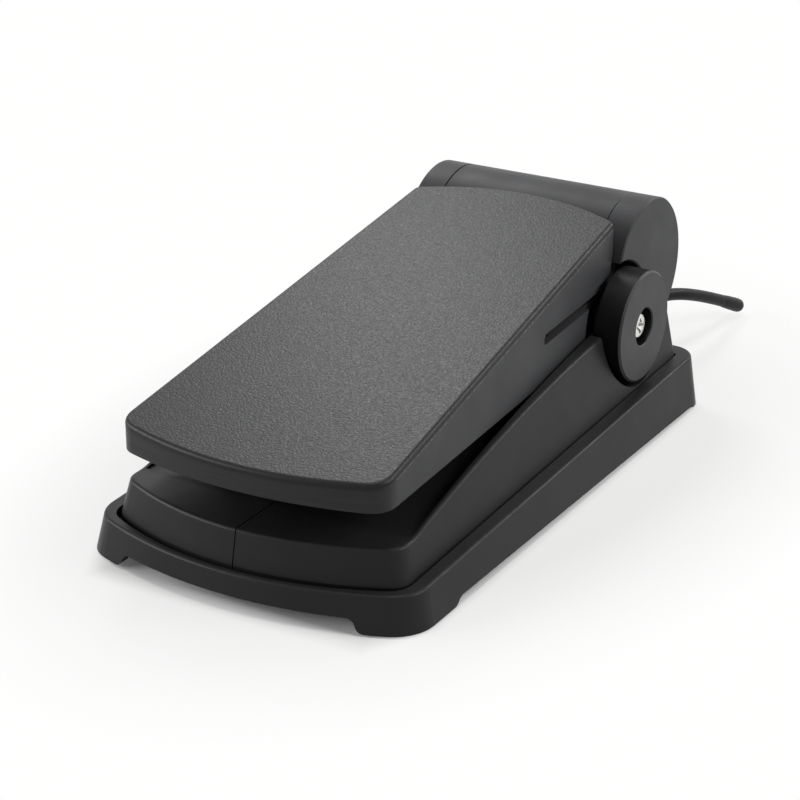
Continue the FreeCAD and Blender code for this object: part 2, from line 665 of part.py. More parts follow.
def housing_half(side):
    shell = housing_skin(0, 0)
    shell = round_edges(shell, HOUSING_EDGE_R, top_rim_edge)
    hollow = housing_skin(HOUSING_WALL, HOUSING_WALL)
    hollow = hollow.cut(well(HOUSING_WALL)).cut(barrel_space(HOUSING_WALL))
    pocket_r = DISC_R + DISC_POCKET_GAP
    for sign in (-1, 1):
        hollow = hollow.cut(rod_x(pocket_r + HOUSING_WALL, sign * EAR_INNER_X, sign * FAR, PIVOT_Y, PIVOT_Z))
    shell = shell.cut(hollow).cut(well(0)).cut(barrel_space(0))
    adds = [ear(1), ear(-1)]
    for sign in (-1, 1):
        for x, y in base_screw_places(sign):
            adds.append(rod_z(BOSS_R, x, y, FLOOR_TOP_Z, well_floor(y) - 1.0))
    shell = fuse([shell] + adds)
    cuts = []
    for sign in (-1, 1):
        cuts.append(rod_x(pocket_r, sign * (EAR_OUTER_X + POCKET_FLOOR), sign * FAR, PIVOT_Y, PIVOT_Z))
        cuts.append(rod_x(BUSH_R + BUSH_BORE_GAP, sign * HUB_INNER_X, sign * FAR, PIVOT_Y, PIVOT_Z))
        slot = box(HUB_INNER_X - 0.6, EAR_INNER_X, ARM_FRONT_Y + 6, HOUSING_REAR_Y - HOUSING_WALL,
                   FLOOR_TOP_Z + HUB_SLOT_SILL, FAR)
        cuts.append(both_sides(slot, sign))
        for x, y in base_screw_places(sign):
            cuts.append(rod_z(SCREW_R + THREAD_CLEARANCE, x, y, 0, FLOOR_TOP_Z + BASE_SCREW_LENGTH))
    half = SECTOR_WIDTH / 2 + SECTOR_SLOT_GAP
    front = PIVOT_Y - SECTOR_R - 3 * PINION_R
    back = PIVOT_Y - SECTOR_R + 2.3 * SECTOR_RIM
    cuts.append(box(-half, half, front, back, FLOOR_TOP_Z + HUB_SLOT_SILL, FAR))
    outlet = V(CORD_EXIT_X, HOUSING_REAR_Y - GLAND_LENGTH, CORD_EXIT_Z)
    cuts.append(Part.makeCylinder(GLAND_R, 2 * GLAND_LENGTH, outlet, Y_AXIS))
    for sign in (-1, 1):
        low = well_floor(BUMPER_Y) - 3 * HOUSING_WALL
        cuts.append(rod_z(BUMPER_STEM_R + RUNNING_CLEARANCE, sign * BUMPER_X, BUMPER_Y, low, FAR))
    shell = cut_all(shell, cuts)
    keep = box(HOUSING_SEAM / 2, FAR, -FAR, FAR, 0, FAR)
    return largest(shell.common(both_sides(keep, side)))


def top_rim_edge(edge):
    # Outer edge of the sloping top, found by the height of its middle
    middle = edge.valueAt((edge.FirstParameter + edge.LastParameter) / 2)
    if abs(middle.x) < 1.0 and middle.y > 0:
        return False
    bounds = edge.BoundBox
    if bounds.ZMin < rim_z(middle.y) + HOUSING_WALL:
        return False
    on_side = abs(middle.x) > HOUSING_HALF_WIDTH - 1.5 * HOUSING_CORNER_R and bounds.YLength > 1.5
    on_front = middle.y < HOUSING_DECK_Y - 2.0 and bounds.XLength > 1.5
    return on_side or on_front


def ear(sign):
    # Bearing ear that stands on the tray floor and carries the bush
    disc = rod_x(EAR_R, EAR_INNER_X, EAR_OUTER_X, PIVOT_Y, PIVOT_Z)
    leg = box(EAR_INNER_X, EAR_OUTER_X, PIVOT_Y - EAR_R, HOUSING_REAR_Y - 1.0, FLOOR_TOP_Z, PIVOT_Z)
    leg = leg.cut(rod_x(BARREL_R + BARREL_CLEARANCE, 0, FAR, BARREL_Y, BARREL_Z)
                  .cut(rod_x(EAR_R, 0, FAR, PIVOT_Y, PIVOT_Z)))
    shape = disc.fuse(leg)
    return shape if sign > 0 else mirror(shape)


def bush(side):
    sleeve = rod_x(BUSH_R, EAR_INNER_X + 0.1, EAR_OUTER_X + POCKET_FLOOR, PIVOT_Y, PIVOT_Z)
    seat = EAR_OUTER_X + POCKET_FLOOR
    flange = rod_x(BUSH_FLANGE_R, seat, seat + BUSH_FLANGE, PIVOT_Y, PIVOT_Z)
    bore = rod_x(JOURNAL_R + RUNNING_CLEARANCE, 0, FAR, PIVOT_Y, PIVOT_Z)
    return both_sides(fuse([sleeve, flange]).cut(bore), side)


def friction_washers():
    middle = (HUB_OUTER_X + EAR_INNER_X) / 2
    half = WASHER_THICKNESS / 2
    ring = rod_x(BUSH_R + 2.0, middle - half, middle + half, PIVOT_Y, PIVOT_Z)
    ring = ring.cut(rod_x(JOURNAL_R + 2 * RUNNING_CLEARANCE, 0, FAR, PIVOT_Y, PIVOT_Z))
    return Part.makeCompound([ring, mirror(ring)])


def stub_axle(side):
    root = hex_x(HUB_FLATS, HUB_INNER_X, HUB_OUTER_X, PIVOT_Y, PIVOT_Z)
    journal = rod_x(JOURNAL_R, HUB_OUTER_X, DISC_INNER_X, PIVOT_Y, PIVOT_Z)
    key = hex_x(KEY_FLATS, DISC_INNER_X, KEY_END_X, PIVOT_Y, PIVOT_Z)
    bore = rod_x(PIVOT_SCREW_R, DISC_RECESS_FLOOR_X - PIVOT_SCREW_GRIP, FAR, PIVOT_Y, PIVOT_Z)
    return both_sides(fuse([root, journal, key]).cut(bore), side)


def hinge_disc(side):
    disc = rod_x(DISC_R, DISC_INNER_X, DISC_FACE_X, PIVOT_Y, PIVOT_Z)
    rim = edges_where(disc, lambda e: abs(e.BoundBox.XMin - DISC_FACE_X) < 0.01)
    disc = disc.makeChamfer(DISC_BEVEL, rim)
    recess = rod_x(DISC_RECESS_R, DISC_RECESS_FLOOR_X, FAR, PIVOT_Y, PIVOT_Z)
    hole = rod_x(PIVOT_SCREW_R + 0.1, 0, FAR, PIVOT_Y, PIVOT_Z)
    socket = hex_x(KEY_FLATS + 2 * RUNNING_CLEARANCE, 0, KEY_END_X + 0.1, PIVOT_Y, PIVOT_Z)
    disc = cut_all(disc, [recess, hole, socket])
    lip = edges_where(disc, lambda e: abs(e.BoundBox.XMin - DISC_FACE_X) < 0.01 and e.BoundBox.YLength < 20)
    return both_sides(disc.makeChamfer(0.4, lip), side)


def hinge_screws():
    seat = DISC_RECESS_FLOOR_X
    front = seat + PIVOT_SCREW_HEAD
    head = rod_x(PIVOT_SCREW_HEAD_R, seat, front, PIVOT_Y, PIVOT_Z)
    head = head.makeFillet(1.3, edges_where(head, lambda e: abs(e.BoundBox.XMin - front) < 0.01))
    shank = rod_x(PIVOT_SCREW_R, seat - PIVOT_SCREW_GRIP + 0.4, seat, PIVOT_Y, PIVOT_Z)
    screw = fuse([head, shank])
    for wide, tall in ((5.4, 1.15), (1.15, 5.4)):
        screw = screw.cut(box(front - 1.5, front + 1, PIVOT_Y - wide / 2, PIVOT_Y + wide / 2,
                              PIVOT_Z - tall / 2, PIVOT_Z + tall / 2))
    tip = Part.makeCone(0.4, 1.9, 2.2, V(front - 2.2, PIVOT_Y, PIVOT_Z), X_AXIS)
    screw = screw.cut(tip)
    return Part.makeCompound([screw, mirror(screw)])


def barrel_tube():
    tube = rod_x(BARREL_R, -BARREL_HALF, BARREL_HALF, BARREL_Y, BARREL_Z)
    tube = tube.makeChamfer(0.3, edges_where(tube, lambda e: e.BoundBox.XLength < 0.01))
    return tube.cut(rod_x(BARREL_R - BARREL_WALL, -FAR, FAR, BARREL_Y, BARREL_Z))


def end_lug(side):
    cap = rod_x(BARREL_R, LUG_INNER_X, LUG_FACE_X, BARREL_Y, BARREL_Z)
    cap = cap.makeChamfer(LUG_BEVEL, edges_where(cap, lambda e: abs(e.BoundBox.XMin - LUG_FACE_X) < 0.01))
    post = box(LUG_INNER_X, LUG_INNER_X + POST_THICKNESS, POST_FRONT_Y, POST_REAR_Y, FLOOR_TOP_Z, BARREL_Z)
    cap = cap.fuse(post)
    notch_r = DISC_R + LUG_NOTCH_GAP
    notch = rod_x(notch_r, 0, FAR, PIVOT_Y, PIVOT_Z)
    notch = notch.cut(box(0, FAR, POST_FRONT_Y, FAR, 0, PIVOT_Z))
    bevel_start = V(LUG_FACE_X - LUG_BEVEL, PIVOT_Y, PIVOT_Z)
    bevel = Part.makeCone(notch_r, notch_r + LUG_BEVEL, LUG_BEVEL, bevel_start, X_AXIS)
    cap = cap.cut(notch).cut(bevel)
    web = rod_x(BARREL_R - BARREL_WALL - 0.1, BARREL_HALF - LUG_WEB, LUG_INNER_X, BARREL_Y, BARREL_Z)
    web = web.cut(rod_x(BARREL_R - BARREL_WALL - 2.4, 0, BARREL_HALF - LUG_WEB + 1.2, BARREL_Y, BARREL_Z))
    foot = box(HUB_OUTER_X - POST_FOOT_WIDTH, HUB_OUTER_X, POST_FRONT_Y, POST_REAR_Y,
               FLOOR_TOP_Z, FLOOR_TOP_Z + POST_FOOT_HEIGHT)
    boss = rod_x(TIE_ROD_R + 3.0, BARREL_HALF - LUG_WEB, LUG_INNER_X + 1, BARREL_Y, BARREL_Z)
    lug = fuse([cap, web, foot, boss])
    x, y = post_screw_place(1)
    lug = lug.cut(rod_z(SCREW_R + THREAD_CLEARANCE, x, y, 0, FLOOR_BOTTOM_Z + BASE_SCREW_LENGTH + 0.3))
    lug = lug.cut(rod_x(TIE_ROD_R + RUNNING_CLEARANCE, 0, TIE_ROD_HALF + 0.2, BARREL_Y, BARREL_Z))
    return both_sides(largest(lug), side)


def tie_rod():
    rod = rod_x(TIE_ROD_R, -TIE_ROD_HALF, TIE_ROD_HALF, BARREL_Y, BARREL_Z)
    return rod.makeChamfer(0.5, edges_where(rod, lambda e: e.BoundBox.XLength < 0.01))


def tie_nuts():
    start = BARREL_HALF - LUG_WEB - 0.05
    nut = hex_x(TIE_NUT_FLATS, start - TIE_NUT_HEIGHT, start, BARREL_Y, BARREL_Z)
    nut = nut.cut(rod_x(TIE_ROD_R + RUNNING_CLEARANCE, 0, FAR, BARREL_Y, BARREL_Z))
    return Part.makeCompound([nut, mirror(nut)])


def pedal_space():
    # Volume of the board with its pad, before the pad is divided from it
    body = prism(pedal_outline(0, PEDAL_SKIRT_Z), FAR).common(below_pedal_top(0, PEDAL_SKIRT_Z))
    return body.cut(rod_x(BARREL_R + BARREL_CLEARANCE, -FAR, FAR, BARREL_Y, BARREL_Z))


def pedal_core(extra):
    core = prism(pedal_outline(0, PEDAL_SKIRT_Z - 1, PAD_THICKNESS + extra), FAR)
    return core.common(below_pedal_top(PAD_THICKNESS + extra, PEDAL_SKIRT_Z - 1))


def tread_pad():
    space = pedal_space()
    space = round_edges(space, PAD_EDGE_R, pad_edge)
    pad = largest(space.cut(pedal_core(0.0)))
    return pad


def pad_edge(edge):
    middle = edge.valueAt((edge.FirstParameter + edge.LastParameter) / 2)
    top = PEDAL_TOP_Z + PITCH * middle.y
    start = edge.valueAt(edge.FirstParameter)
    level = abs(start.z - PEDAL_TOP_Z - PITCH * start.y) < 0.02
    return abs(middle.z - top) < 0.02 and level and middle.y < PEDAL_REAR_Y + 0.1


def pedal_plate():
    body = pedal_space().common(pedal_core(0.02))
    inside = prism(pedal_outline(-PEDAL_SKIN, PEDAL_SKIRT_Z - 1, PAD_THICKNESS), FAR)
    inside = inside.common(below_pedal_top(PAD_THICKNESS + PEDAL_SKIN, PEDAL_SKIRT_Z - 1))
    inside = inside.cut(rod_x(BARREL_R + BARREL_CLEARANCE + PEDAL_SKIN, -FAR, FAR, BARREL_Y, BARREL_Z))
    slot = side_slot()
    body = body.cut(inside).cut(slot).cut(mirror(slot))
    arm = hub_arm().cut(slot)
    adds = []
    step = (ARM_FRONT_Y - PEDAL_FRONT_Y) / (RIB_COUNT + 1)
    for k in range(RIB_COUNT):
        y = PEDAL_FRONT_Y + step * (k + 1)
        rib = box(-FAR, FAR, y - RIB_THICKNESS / 2, y + RIB_THICKNESS / 2, PEDAL_SKIRT_Z - 1, FAR)
        adds.append(rib.common(inside).common(rib_band()))
    half = RIB_THICKNESS / 2
    for x in (-RIB_X, RIB_X):
        rib = box(x - half, x + half, -FAR, PIVOT_Y - HUB_R, PEDAL_SKIRT_Z - 1, FAR)
        adds.append(rib.common(inside).common(rib_band()))
    adds += [arm, mirror(arm), sector_seat()]
    for sign in (-1, 1):
        reach = rod_z(BUMPER_R, sign * BUMPER_X, BUMPER_Y, bumper_reach(), FAR)
        adds.append(reach.common(inside))
    body = fuse([body] + adds)
    cuts = []
    for sign in (-1, 1):
        outside = HUB_OUTER_X + 0.05
        lower = rod_x(ARM_END_R, outside, FAR, PIVOT_Y, PIVOT_Z)
        lower = lower.common(box(0, FAR, -FAR, FAR, 0, SLOT_LOW_Z + 0.01))
        tail = box(outside, FAR, PIVOT_Y - 1, FAR, 0, SLOT_LOW_Z + 0.01)
        hub_gap = rod_x(EAR_R + EAR_GAP, outside, FAR, PIVOT_Y, PIVOT_Z)
        socket = hex_x(HUB_FLATS, HUB_INNER_X - 1.0, HUB_OUTER_X + 1.0, PIVOT_Y, PIVOT_Z)
        for tool in (lower, tail, hub_gap, socket):
            cuts.append(both_sides(tool, sign))
    a, b = sector_screw_places()
    half = SECTOR_FOOT_WIDTH / 2 + 0.6
    cuts.append(box(-half, half, a[1] - 5.0, b[1] + 5.0, PEDAL_SKIRT_Z - 1, a[2]))
    for x, y, z in (a, b):
        cuts.append(rod_z(SCREW_R + THREAD_CLEARANCE, x, y, z - 1.0, z + SECTOR_SCREW_BITE + 0.5))
    return largest(cut_all(body, cuts))


def rib_band():
    # Ribs hang below the skin by the rib depth only
    deep = below_pedal_top(PAD_THICKNESS + PEDAL_SKIN - 0.1, PEDAL_SKIRT_Z - 5)
    return deep.cut(below_pedal_top(PAD_THICKNESS + PEDAL_SKIN + RIB_DEPTH, PEDAL_SKIRT_Z - 6))


def bumper_reach():
    # Height of the board's landing pad, so that it meets the bumper at the end of its travel
    drop = (PIVOT_Y - BUMPER_Y) * math.sin(math.radians(TRAVEL_DEG))
    return well_floor(BUMPER_Y) + BUMPER_HEIGHT + drop + BUMPER_REST_GAP


def hub_arm():
    # Inner arm from the side of the board back to the stub axle
    hub = rod_x(HUB_R, HUB_INNER_X, HUB_OUTER_X, PIVOT_Y, PIVOT_Z)
    points = [(ARM_FRONT_Y, PEDAL_SKIRT_Z), (PIVOT_Y - 3.0, PIVOT_Z - HUB_R + 0.4),
              (PIVOT_Y, PIVOT_Z), (PIVOT_Y - 2.0, PIVOT_Z + HUB_R - 0.2),
              (ARM_FRONT_Y + 1.5 * HUB_R, SLOT_LOW_Z), (ARM_FRONT_Y, SLOT_LOW_Z)]
    plate = side_prism(polygon_yz(points), FAR).common(box(HUB_INNER_X, HUB_OUTER_X, -FAR, FAR, 0, FAR))
    bridge_end = PIVOT_Y - ARM_END_R - 1.0
    bridge = box(HUB_INNER_X, FAR, ARM_FRONT_Y, bridge_end, PEDAL_SKIRT_Z, SLOT_LOW_Z)
    bridge = bridge.common(prism(pedal_outline(-0.3, 0), FAR))
    return fuse([hub, plate, bridge])


def sector_seat():
    x, y, z = sector_screw_places()[0]
    far = sector_screw_places()[1]
    pad = box(-SECTOR_FOOT_WIDTH / 2, SECTOR_FOOT_WIDTH / 2, y - 5, far[1] + 5, z, FAR)
    return pad.common(below_pedal_top(PAD_THICKNESS + 0.5, 0))


def sector_screw_places():
    z = sector_seat_z()
    middle = PIVOT_Y - SECTOR_R + SECTOR_RIM
    return [(0, middle - 4.0 - 7.0, z), (0, middle + 11.0, z)]


def sector_seat_z():
    front = PIVOT_Y - SECTOR_R - 12
    return PEDAL_TOP_Z + PITCH * front - PAD_THICKNESS - PEDAL_SKIN - 3.0


def side_slot():
    # Long slot in the side of the board, open at the rear, with a shallow rebate above it
    end = PEDAL_REAR_Y + PEDAL_REAR_BOW + 3.0
    high = SLOT_LOW_Z + SLOT_HEIGHT
    inner_x = HUB_INNER_X - 3.0
    through = box(inner_x, FAR, SLOT_FRONT_Y, end, SLOT_LOW_Z, high)
    front_ends = lambda e: abs(e.BoundBox.YMax - SLOT_FRONT_Y) < 0.01 and e.BoundBox.XLength > 5
    through = round_edges(through, SLOT_HEIGHT * 0.47, front_ends)
    ring = prism(pedal_outline(1.0, 0), FAR).cut(prism(pedal_outline(-SLOT_REBATE_DEPTH, 0), FAR))
    shallow = box(inner_x, FAR, SLOT_FRONT_Y + 1.0, end, high - 0.5, SLOT_LOW_Z + SLOT_REBATE_HEIGHT)
    return through.fuse(ring.common(shallow))


def sector_point(radius, angle):
    return PIVOT_Y - radius * math.cos(angle), PIVOT_Z - radius * math.sin(angle)


def gear_sector():
    # Toothed arc about the pivot, carried by a web and a foot under the board
    low = MESH_ANGLE + math.radians(SECTOR_BELOW_DEG)
    high = MESH_ANGLE - math.radians(SECTOR_ABOVE_DEG)
    step = 2 * math.pi / SECTOR_TEETH_FULL
    count = int((low - high) / step)
    angles = [math.pi + MESH_ANGLE + step * (k - count) + step * int(math.radians(SECTOR_BELOW_DEG) / step)
              for k in range(count + 1)]
    teeth = gear_profile(SECTOR_TEETH_FULL, GEAR_MODULE, GEAR_BACKLASH, PIVOT_Y, PIVOT_Z, angles)
    inner_r = SECTOR_R - SECTOR_RIM
    first = angles[0] - step / 2
    last = angles[-1] + step / 2
    seat = sector_seat_z()
    root = SECTOR_R - 1.2 * GEAR_MODULE
    low_in = (PIVOT_Y + inner_r * math.cos(last), PIVOT_Z + inner_r * math.sin(last))
    low_out = (PIVOT_Y + root * math.cos(last), PIVOT_Z + root * math.sin(last))
    high_out = (PIVOT_Y + root * math.cos(first), PIVOT_Z + root * math.sin(first))
    high_in = (PIVOT_Y + inner_r * math.cos(first), PIVOT_Z + inner_r * math.sin(first))
    top_out = (high_out[0] + 1.0, seat - 0.5)
    top_in = (high_in[0] + 1.0, seat - 0.5)
    points = [low_out, low_in, high_in, top_in, top_out, high_out] + teeth
    web = side_prism(polygon_yz(points), SECTOR_WIDTH / 2)
    a, b = sector_screw_places()
    half = SECTOR_FOOT_WIDTH / 2
    foot = box(-half, half, a[1] - 4.0, b[1] + 4.0, seat - SECTOR_FOOT, seat)
    foot = round_edges(foot, 2.0, lambda e: abs(e.BoundBox.ZLength - SECTOR_FOOT) < 0.01)
    shape = fuse([web, foot])
    for x, y, z in (a, b):
        shape = shape.cut(rod_z(SCREW_R + SCREW_CLEARANCE, x, y, z - 10, z + 2))
    return largest(shape)


def sector_screws():
    screws = []
    for x, y, z in sector_screw_places():
        screws.append(screw_up(x, y, z - SECTOR_FOOT, SCREW_R, SCREW_HEAD_R,
                               SCREW_HEAD, SECTOR_FOOT + SECTOR_SCREW_BITE))
    return Part.makeCompound(screws)


def pinion():
    step = 2 * math.pi / PINION_TEETH
    facing = math.atan2(PIVOT_Z - PINION_Z, PIVOT_Y - PINION_Y)
    angles = [facing + step / 2 + step * k for k in range(PINION_TEETH)]
    points = gear_profile(PINION_TEETH, GEAR_MODULE, GEAR_BACKLASH, PINION_Y, PINION_Z, angles)
    gear = side_prism(polygon_yz(points), SECTOR_WIDTH / 2 + 0.5)
    hub_r = PINION_R - 1.4 * GEAR_MODULE
    hub = rod_x(hub_r, -SECTOR_WIDTH / 2 - 0.5, PINION_WIDTH / 2 + 1.0, PINION_Y, PINION_Z)
    bore = rod_x(SHAFT_R, -FAR, FAR, PINION_Y, PINION_Z)
    return fuse([gear, hub]).cut(bore)


def pot_shaft():
    shaft = rod_x(SHAFT_R, -SECTOR_WIDTH / 2, BRACKET_X + BRACKET_SHEET + 2.0, PINION_Y, PINION_Z)
    return shaft.makeChamfer(0.3, edges_where(shaft, lambda e: abs(e.BoundBox.XMin + SECTOR_WIDTH / 2) < 0.01
                                              and e.BoundBox.XLength < 0.01))


def pot_body():
    face = BRACKET_X + BRACKET_SHEET
    can = box(face, face + POT_BODY_DEPTH, PINION_Y - POT_BODY_HALF, PINION_Y + POT_BODY_HALF,
              PINION_Z - POT_BODY_HALF, PINION_Z + POT_BODY_HALF)
    can = round_edges(can, 1.2, lambda e: abs(e.BoundBox.XLength - POT_BODY_DEPTH) < 0.01)
    neck = rod_x(POT_NECK_R, face - 4.2, face, PINION_Y, PINION_Z)
    bore = rod_x(SHAFT_R + RUNNING_CLEARANCE, 0, face + 2.1, PINION_Y, PINION_Z)
    return fuse([can, neck]).cut(bore)


def pot_nut():
    nut = hex_x(2 * POT_NECK_R + 2.8, BRACKET_X - 1.8, BRACKET_X, PINION_Y, PINION_Z)
    return nut.cut(rod_x(POT_NECK_R, 0, FAR, PINION_Y, PINION_Z))


def pot_bracket():
    upright = box(BRACKET_X, BRACKET_X + BRACKET_SHEET, PINION_Y - BRACKET_HALF, PINION_Y + BRACKET_HALF,
                  FLOOR_TOP_Z, PINION_Z + POT_BODY_HALF - 0.6)
    places = bracket_screw_places()
    foot_end = BRACKET_X + BRACKET_SHEET + BRACKET_FOOT + 4.0
    foot = box(BRACKET_X, foot_end, places[0][1] - 4.0, places[1][1] + 4.0,
               FLOOR_TOP_Z, FLOOR_TOP_Z + BRACKET_SHEET)
    shape = fuse([upright, foot])
    shape = shape.cut(rod_x(POT_NECK_R + RUNNING_CLEARANCE, 0, FAR, PINION_Y, PINION_Z))
    for x, y in places:
        shape = shape.cut(rod_z(SCREW_R + SCREW_CLEARANCE, x, y, 0, FAR))
    return shape


def bracket_screws():
    screws = []
    for x, y in bracket_screw_places():
        top = FLOOR_TOP_Z + BRACKET_SHEET
        shank = rod_z(BRACKET_SCREW_R, x, y, FLOOR_BOTTOM_Z - 1.0, top)
        head = rod_z(SCREW_HEAD_R, x, y, top, top + SCREW_HEAD)
        head = round_edges(head, 0.6, lambda e: abs(e.BoundBox.ZMin - top - SCREW_HEAD) < 0.01)
        screws.append(fuse([shank, head]))
    return Part.makeCompound(screws)


def circuit_board():
    back = BRACKET_X + BRACKET_SHEET + POT_BODY_DEPTH
    return box(back, back + BOARD_THICKNESS, PINION_Y - BOARD_HALF, PINION_Y + BOARD_HALF,
               PINION_Z - POT_BODY_HALF, PINION_Z + POT_BODY_HALF + 0.4)


def stop_bumpers():
    bumpers = []
    for side in (-1, 1):
        z = well_floor(BUMPER_Y)
        slope = well_floor(BUMPER_Y + BUMPER_R) - z
        head = rod_z(BUMPER_R, side * BUMPER_X, BUMPER_Y, z + slope + 0.05, z + BUMPER_HEIGHT)
        head = round_edges(head, 0.7, lambda e: abs(e.BoundBox.ZMin - z - BUMPER_HEIGHT) < 0.01)
        stem = rod_z(BUMPER_STEM_R, side * BUMPER_X, BUMPER_Y, z - HOUSING_WALL - 0.3, z + slope + 0.2)
        bumpers.append(fuse([head, stem]))
    return Part.makeCompound(bumpers)


def arc_corner(a, b, c, share):
    # Tangent points and mid-point of the arc that joins two straight runs at b
    u = a.sub(b)
    w = c.sub(b)
    shorter = min(u.Length, w.Length)
    u.normalize()
    w.normalize()
    turn = math.pi - u.getAngle(w)
    reach = share * shorter
    radius = reach / math.tan(turn / 2)
    start = b.add(u * reach)
    end = b.add(w * reach)
    bisector = u.add(w)
    bisector.normalize()
    centre = b.add(bisector * math.hypot(reach, radius))
    middle = centre.sub(bisector * radius)
    return start, middle, end, radius


def cord_path():
    points = [V(*p) for p in CORD_ROUTE]
    edges = []
    last = points[0]
    for a, b, c in zip(points[:-2], points[1:-1], points[2:]):
        start, middle, end, radius = arc_corner(a, b, c, CORD_BEND_SHARE)
        print("cord arc radius", round(radius, 1))
        edges.append(Part.makeLine(last, start))
        edges.append(Part.Arc(start, middle, end).toShape())
        last = end
    edges.append(Part.makeLine(last, points[-1]))
    return Part.Wire(edges)


def cord():
    path = cord_path()
    first = V(*CORD_ROUTE[0])
    along = V(*CORD_ROUTE[1]).sub(first)
    section = Part.Wire([Part.makeCircle(CORD_R, first, along)])
    tube = path.makePipeShell([section], True, False)
    print("cord length", round(path.Length, 2), "volume", round(tube.Volume, 2),
          "section x length", round(math.pi * CORD_R ** 2 * path.Length, 2))
    return tube


def cord_plug():
    start = V(*CORD_ROUTE[-1])
    along = start.sub(V(*CORD_ROUTE[-2]))
    along.normalize()
    end = start.add(along * PLUG_LENGTH)
    plug = Part.makeCylinder(PLUG_R, PLUG_LENGTH, start, along)
    far = [edge for edge in plug.Edges if edge.CenterOfMass.distanceToPoint(end) < 0.01]
    return plug.makeFillet(PLUG_R * 0.55, far)


def cord_gland():
    x, y, z = CORD_ROUTE[0]
    back = HOUSING_REAR_Y + TRAY_REAR_BOW
    seat = back + 0.2
    neck_start = V(x, seat - GLAND_LENGTH, z)
    neck = Part.makeCylinder(GLAND_R - RUNNING_CLEARANCE, GLAND_LENGTH, neck_start, Y_AXIS)
    flange = Part.makeCylinder(GLAND_FLANGE_R, GLAND_FLANGE, V(x, seat, z), Y_AXIS)
    sleeve = Part.makeCone(GLAND_R, CORD_R + 0.6, GLAND_SLEEVE, V(x, seat + GLAND_FLANGE, z), Y_AXIS)
    bore = Part.makeCylinder(CORD_R + RUNNING_CLEARANCE, 2 * FAR, V(x, -FAR, z), Y_AXIS)
    return fuse([neck, flange, sleeve]).cut(bore)


PARTS = [
    ("base_tray", base_tray), ("rubber_feet", rubber_feet), ("ballast_plate", ballast_plate),
    ("base_screws", base_screws), ("post_screws", post_screws),
    ("housing_left", lambda: housing_half(-1)), ("housing_right", lambda: housing_half(1)),
    ("bush_left", lambda: bush(-1)), ("bush_right", lambda: bush(1)),
    ("friction_washers", friction_washers),
    ("stub_axle_left", lambda: stub_axle(-1)), ("stub_axle_right", lambda: stub_axle(1)),
    ("hinge_disc_left", lambda: hinge_disc(-1)), ("hinge_disc_right", lambda: hinge_disc(1)),
    ("hinge_screws", hinge_screws),
    ("barrel_tube", barrel_tube),
    ("end_lug_left", lambda: end_lug(-1)), ("end_lug_right", lambda: end_lug(1)),
    ("tie_rod", tie_rod), ("tie_nuts", tie_nuts),
    ("pedal_plate", pedal_plate), ("tread_pad", tread_pad),
    ("gear_sector", gear_sector), ("sector_screws", sector_screws),
    ("pinion", pinion), ("pot_shaft", pot_shaft), ("pot_body", pot_body), ("pot_nut", pot_nut),
    ("pot_bracket", pot_bracket), ("bracket_screws", bracket_screws), ("circuit_board", circuit_board),
    ("stop_bumpers", stop_bumpers),
    ("cord_gland", cord_gland), ("cord", cord), ("cord_plug", cord_plug),
]


def main():
    os.makedirs("parts", exist_ok=True)
    for name, maker in PARTS:
        shape = maker()
        shape.exportStep("parts/" + name + ".step")
        bounds = shape.BoundBox
        print(name, len(shape.Solids), "solids", "valid" if shape.isValid() else "INVALID",
              round(shape.Volume), [round(v, 1) for v in (bounds.XMin, bounds.XMax, bounds.YMin, bounds.YMax,
                                                          bounds.ZMin, bounds.ZMax)])


main()
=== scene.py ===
import math

import bpy
from mathutils import Matrix, Vector


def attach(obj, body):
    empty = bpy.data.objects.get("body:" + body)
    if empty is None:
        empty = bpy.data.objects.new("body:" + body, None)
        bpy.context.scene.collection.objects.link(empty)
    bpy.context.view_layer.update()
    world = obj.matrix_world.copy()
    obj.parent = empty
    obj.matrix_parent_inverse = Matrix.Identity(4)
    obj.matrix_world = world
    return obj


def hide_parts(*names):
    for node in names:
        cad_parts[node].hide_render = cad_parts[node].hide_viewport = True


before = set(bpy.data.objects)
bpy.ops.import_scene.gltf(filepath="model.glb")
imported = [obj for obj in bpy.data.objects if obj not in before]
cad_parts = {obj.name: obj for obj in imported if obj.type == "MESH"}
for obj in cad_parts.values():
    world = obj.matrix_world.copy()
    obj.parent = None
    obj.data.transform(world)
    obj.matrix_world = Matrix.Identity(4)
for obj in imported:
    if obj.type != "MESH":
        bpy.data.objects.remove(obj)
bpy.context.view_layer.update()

# Lengths are in metres and colours are linear.

# Camera, at the photograph's place and angle
CAMERA_PLACE = (0.366484, -0.637829, 0.342382)
CAMERA_TURN_DEG = 30.2765
CAMERA_DOWN_DEG = 23.3005
CAMERA_LENS_MM = 108.358
CAMERA_SENSOR_MM = 36.0
CAMERA_NEAR = 0.01
CAMERA_FAR = 50.0

# Cord, with the route's points as in the part's source
CORD_ROUTE = [(0.021, 0.092, 0.0222), (0.021, 0.112, 0.0222), (0.0272, 0.135, 0.0242),
              (0.033, 0.158, 0.0178), (0.0358, 0.18, 0.00775)]
CORD_DIAMETER = 0.0046
CORD_ROUND_STEPS = 8
CORD_SPAN_STEPS = 24
CORD_ORDER = 3

# Moulded end of the cord: distance from the cord's end along its line, and radius
TIP_PROFILE = [(-0.008, 0.0021), (-0.006, 0.00222), (-0.004, 0.00233), (-0.0015, 0.00247),
               (0.002, 0.0026), (0.006, 0.00268), (0.0088, 0.00268), (0.0097, 0.00258),
               (0.0103, 0.00236), (0.0107, 0.002), (0.0109, 0.0015), (0.011, 0.0008)]
TIP_SIDES = 32

